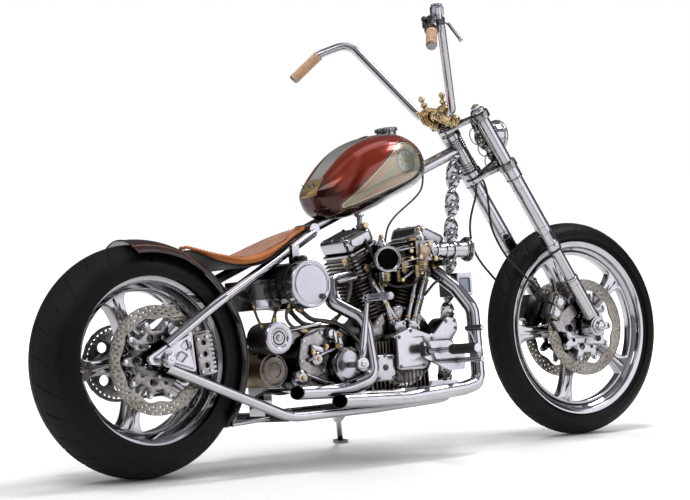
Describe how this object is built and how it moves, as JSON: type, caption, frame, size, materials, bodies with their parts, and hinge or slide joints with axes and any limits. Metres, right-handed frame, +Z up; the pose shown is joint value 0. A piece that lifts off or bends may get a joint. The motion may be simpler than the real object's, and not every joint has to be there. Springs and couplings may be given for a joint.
{
  "type": "chopper motorcycle",
  "caption": "Rigid-frame chopper with a V-twin engine, high bars, long raked fork, sprung-free leather seat and wide rear tyre, leaning on its side stand",
  "frame": {"origin": "middle of the bounding box on the floor, under the motorcycle as it leans on its side stand", "axes": "+X points forward along the motorcycle, +Y to its left, the side it leans to, +Z up"},
  "size_m": [2.3063, 0.8081, 1.3429],
  "materials": {
    "barrel_iron": "dark finned iron",
    "black_paint": "gloss black",
    "brass": "polished brass",
    "chain_steel": "oiled chain steel",
    "chrome": "polished chrome plate",
    "disc_steel": "drilled brake disc steel",
    "engine_metal": "cast and polished aluminium",
    "fender_paint": "dark maroon gloss",
    "grip": "ribbed tan grip",
    "hose_rubber": "black rubber hose",
    "leather": "tan tooled leather",
    "polished": "polished aluminium",
    "tank_paint": "candy red over gold with a dark lower part, gloss clear coat",
    "tyre": "black rubber tyre"
  },
  "bodies": {
    "chassis": {"steering_neck": "chrome", "backbone": "chrome", "axle_plates": "chrome", "upper_stays": "chrome", "lower_rails": "chrome", "down_tube": "chrome", "crossmembers": "black_paint", "stand_lug": "chrome", "rear_fender": "fender_paint", "fender_struts": "chrome", "seat_leather": "leather", "seat_pan": "black_paint", "fuel_tank": "tank_paint", "fuel_cap": "chrome", "tank_mounts": "black_paint", "crankcase": "engine_metal", "cylinders": "barrel_iron", "cylinder_heads": "engine_metal", "rocker_covers": "polished", "pushrod_tubes": "chrome", "cam_cover": "polished", "oil_pump": "engine_metal", "gearbox": "engine_metal", "primary_case": "engine_metal", "drive_chain": "chain_steel", "carburettors": "chrome", "front_exhaust": "chrome", "rear_exhaust": "chrome", "oil_tank": "chrome", "electrics_box": "black_paint", "starter": "engine_metal", "oil_filter": "chrome", "regulator": "black_paint", "engine_mounts": "chrome", "rear_caliper": "chrome", "rear_axle": "chrome", "foot_controls": "chrome", "throttle_cable": "hose_rubber"},
    "steering": {"fork_tubes": "polished", "fork_sliders": "engine_metal", "lower_tree": "polished", "upper_tree": "polished", "handlebar": "chrome", "grips": "grip", "risers": "brass", "brake_lever": "chrome", "headlamp": "chrome", "front_axle": "chrome", "front_calipers": "chrome", "brake_hose_right": "hose_rubber", "brake_hose_left": "hose_rubber"},
    "front_wheel": {"front_tyre": "tyre", "front_rim": "polished", "front_discs": "disc_steel"},
    "rear_wheel": {"rear_tyre": "tyre", "rear_rim": "polished", "rear_disc": "disc_steel", "rear_sprocket": "chain_steel"},
    "side_stand": {"stand_leg": "chrome"},
    "kick_lever": {"kick_lever": "chrome"}
  },
  "joints": [
    {"name": "steering", "type": "hinge", "parent": "chassis", "child": "steering", "pos_m": [0.39875, 0.00097, 0.91036], "axis": [-0.5299, 0.1019, 0.8419], "range_deg": [-30, 30]},
    {"name": "front_wheel", "type": "hinge", "parent": "steering", "child": "front_wheel", "pos_m": [0.81175, -0.06813, 0.33939], "axis": [0, 0.9928, -0.1201], "continuous": true},
    {"name": "rear_wheel", "type": "hinge", "parent": "chassis", "child": "rear_wheel", "pos_m": [-0.82325, -0.06946, 0.32833], "axis": [0, 0.9928, -0.1201], "continuous": true},
    {"name": "side_stand", "type": "hinge", "parent": "chassis", "child": "side_stand", "pos_m": [-0.02325, 0.07495, 0.10665], "axis": [0, 0.6847, 0.7288], "range_deg": [0, 105]},
    {"name": "kick_lever", "type": "hinge", "parent": "chassis", "child": "kick_lever", "pos_m": [-0.19125, -0.27733, 0.30038], "axis": [0, -0.9928, 0.1201], "range_deg": [0, 80]}
  ]
}
